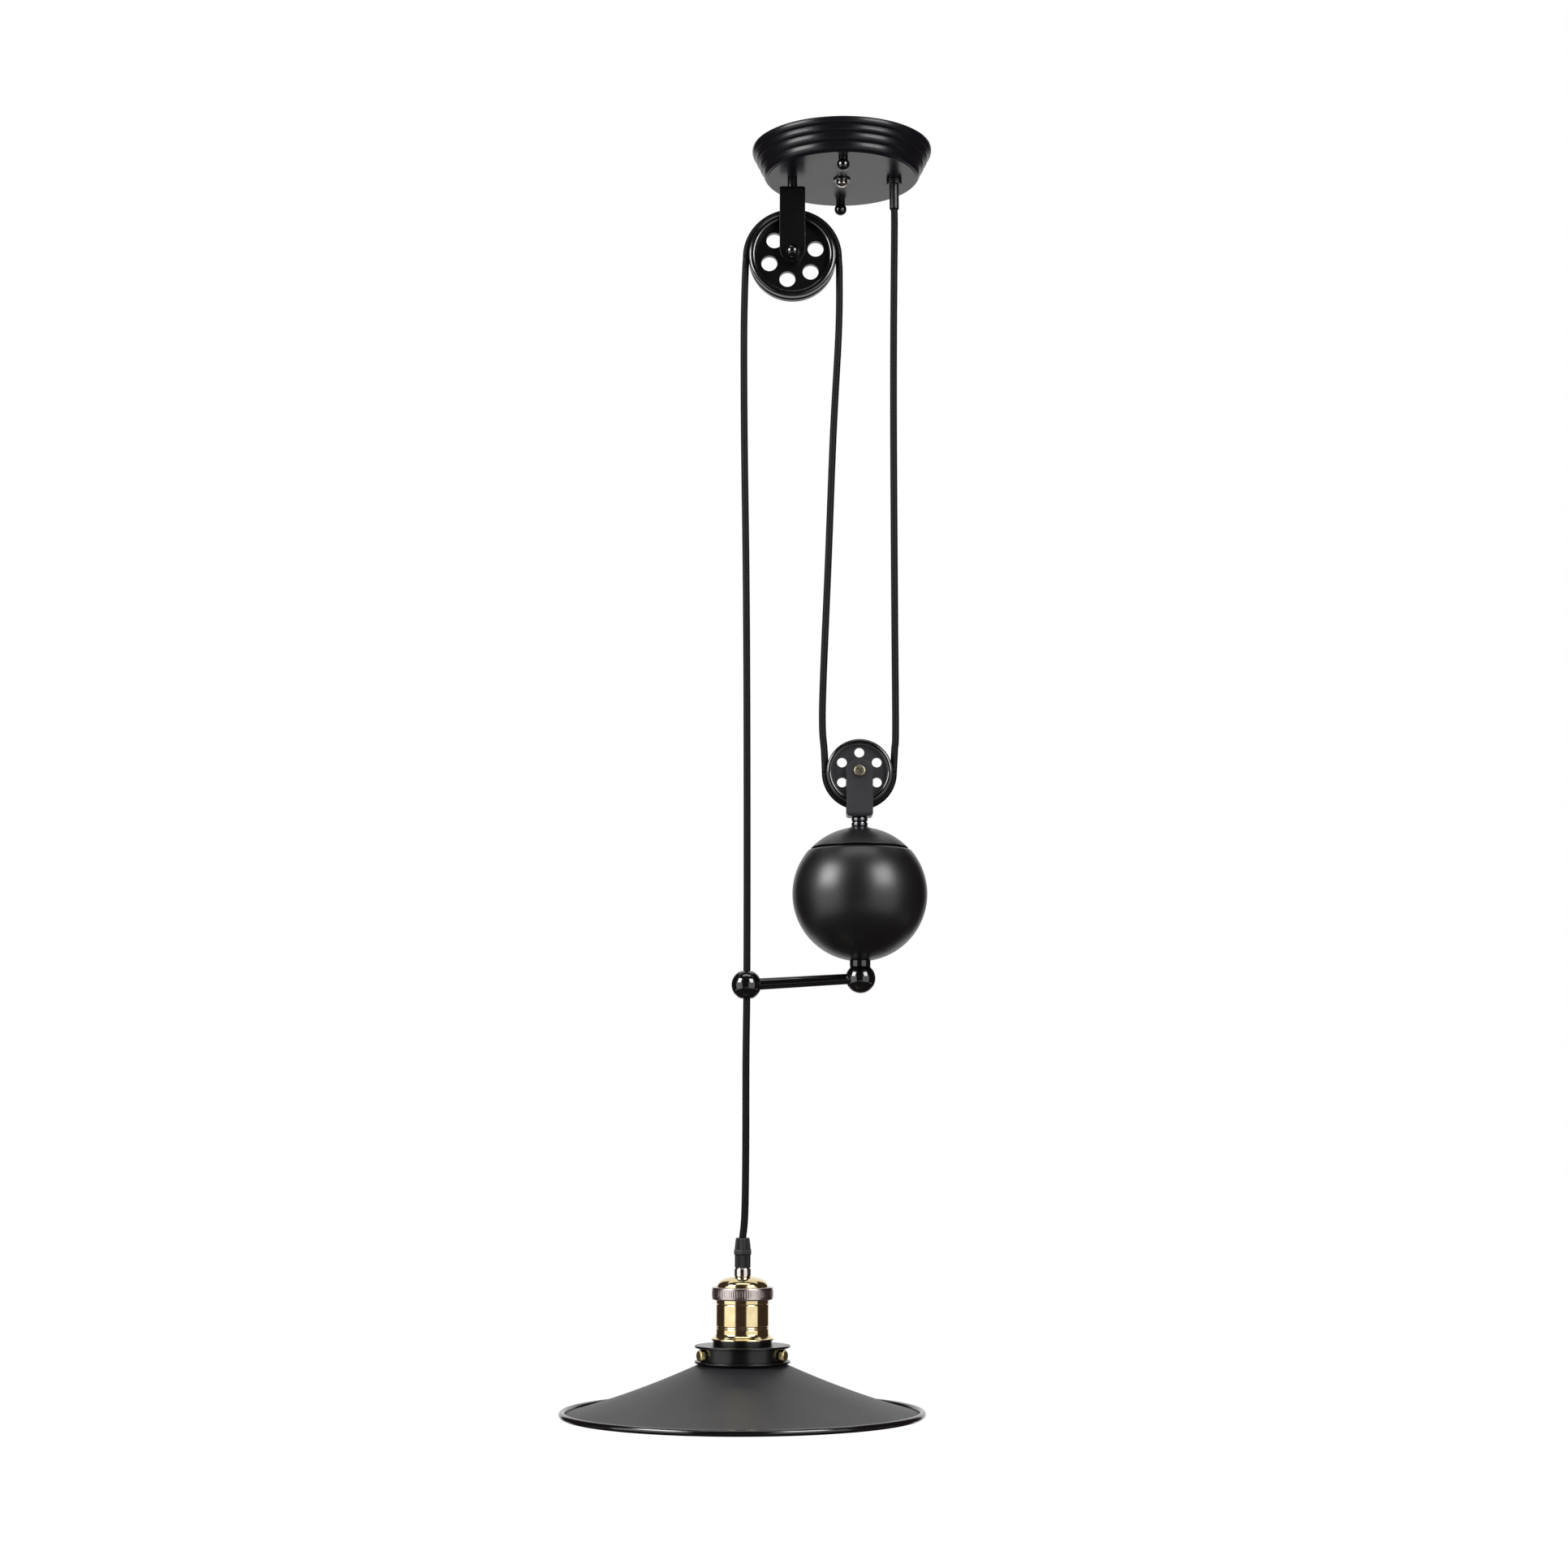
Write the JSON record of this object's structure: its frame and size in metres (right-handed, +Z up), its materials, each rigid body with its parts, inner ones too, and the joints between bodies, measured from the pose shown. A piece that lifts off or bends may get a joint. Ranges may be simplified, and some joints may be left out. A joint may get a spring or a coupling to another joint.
{
  "type": "rise and fall pendant",
  "caption": "Ceiling pendant with a shallow cone shade on a cord that runs over a fixed pulley and under the pulley of a round counterweight, so the lamp rises and falls.",
  "frame": {"origin": "on the ceiling, at the middle of the canopy and midway between the two ceiling slots", "axes": "+Z up, +X to the right as seen from the front, +Y away from the viewer; the wheels' axles lie along Y"},
  "size_m": [0.2606, 0.25, 0.9012],
  "materials": {
    "black_paint": "satin",
    "cord": "woven look",
    "soft_black": "matte",
    "brass": "aged, satin",
    "screw_brass": "bright",
    "nickel": "satin",
    "steel": "plain",
    "iron": "raw",
    "porcelain": "gloss",
    "pale_plastic": "moulded",
    "copper_core": "insulated core"
  },
  "bodies": {
    "ceiling_unit": {"ceiling_strap": "steel", "canopy_screws": "steel", "canopy": "black_paint", "ball_nuts": "black_paint", "centre_stud": "steel", "centre_washer": "black_paint", "centre_nut": "nickel", "terminal_block": "pale_plastic", "terminal_screws": "brass", "canopy_grip": "soft_black", "grip_lock_nut": "soft_black", "canopy_cord": "cord", "canopy_cores": "copper_core", "hanger_stem": "black_paint", "hanger_nuts": "steel", "hanger_washer": "steel", "upper_fork": "black_paint", "upper_axle": "steel", "upper_dome_nuts": "black_paint", "upper_washers": "steel", "cord_upper_wrap": "cord", "cord_left_leg": "cord", "cord_middle_leg": "cord", "cord_right_leg": "cord"},
    "upper_wheel": {"upper_wheel": "black_paint", "upper_bush": "brass"},
    "counterweight": {"lower_fork": "black_paint", "lower_axle_screw": "nickel", "lower_axle_nut": "steel", "lower_washers": "steel", "cord_lower_wrap": "cord", "neck_nut": "black_paint", "neck_collar": "black_paint", "tie_rod": "steel", "weight_lid": "black_paint", "weight_shell": "black_paint", "weight_ballast": "iron", "weight_foot": "black_paint", "arm_ball": "black_paint", "arm_rod": "black_paint", "guide_ball": "black_paint"},
    "lower_wheel": {"lower_wheel": "black_paint", "lower_bush": "brass"},
    "lamp": {"grip_nut": "soft_black", "grip_body": "soft_black", "holder_nipple": "nickel", "holder_dome": "brass", "holder_ring": "brass", "holder_shell": "brass", "porcelain_insert": "porcelain", "screw_shell": "nickel", "centre_contact": "brass", "holder_terminals": "brass", "lamp_cord": "cord", "lamp_cores": "copper_core", "gallery": "black_paint", "gallery_screws": "screw_brass", "gallery_ring": "soft_black", "shade": "black_paint"}
  },
  "joints": [
    {"name": "lamp_slide", "type": "slide", "parent": "ceiling_unit", "child": "lamp", "axis": [0, 0, 1], "range_m": [-0.45, 0.105], "deforming": ["cord_left_leg"]},
    {"name": "counterweight_slide", "type": "slide", "parent": "ceiling_unit", "child": "counterweight", "axis": [0, 0, 1], "range_m": [-0.055, 0.228], "deforming": ["cord_middle_leg", "cord_right_leg"]},
    {"name": "upper_wheel_spin", "type": "hinge", "parent": "ceiling_unit", "child": "upper_wheel", "pos_m": [-0.036, 0, -0.0805], "axis": [0, 1, 0], "range_deg": [-775, 182]},
    {"name": "lower_wheel_spin", "type": "hinge", "parent": "counterweight", "child": "lower_wheel", "pos_m": [0.011, 0, -0.458], "axis": [0, 1, 0], "range_deg": [-127, 539]}
  ],
  "couplings": [
    {"joint": "counterweight_slide", "follows": "lamp_slide", "ratio": -0.5},
    {"joint": "upper_wheel_spin", "follows": "lamp_slide", "rad_per_m": 29.94},
    {"joint": "lower_wheel_spin", "follows": "lamp_slide", "rad_per_m": -20.83}
  ]
}
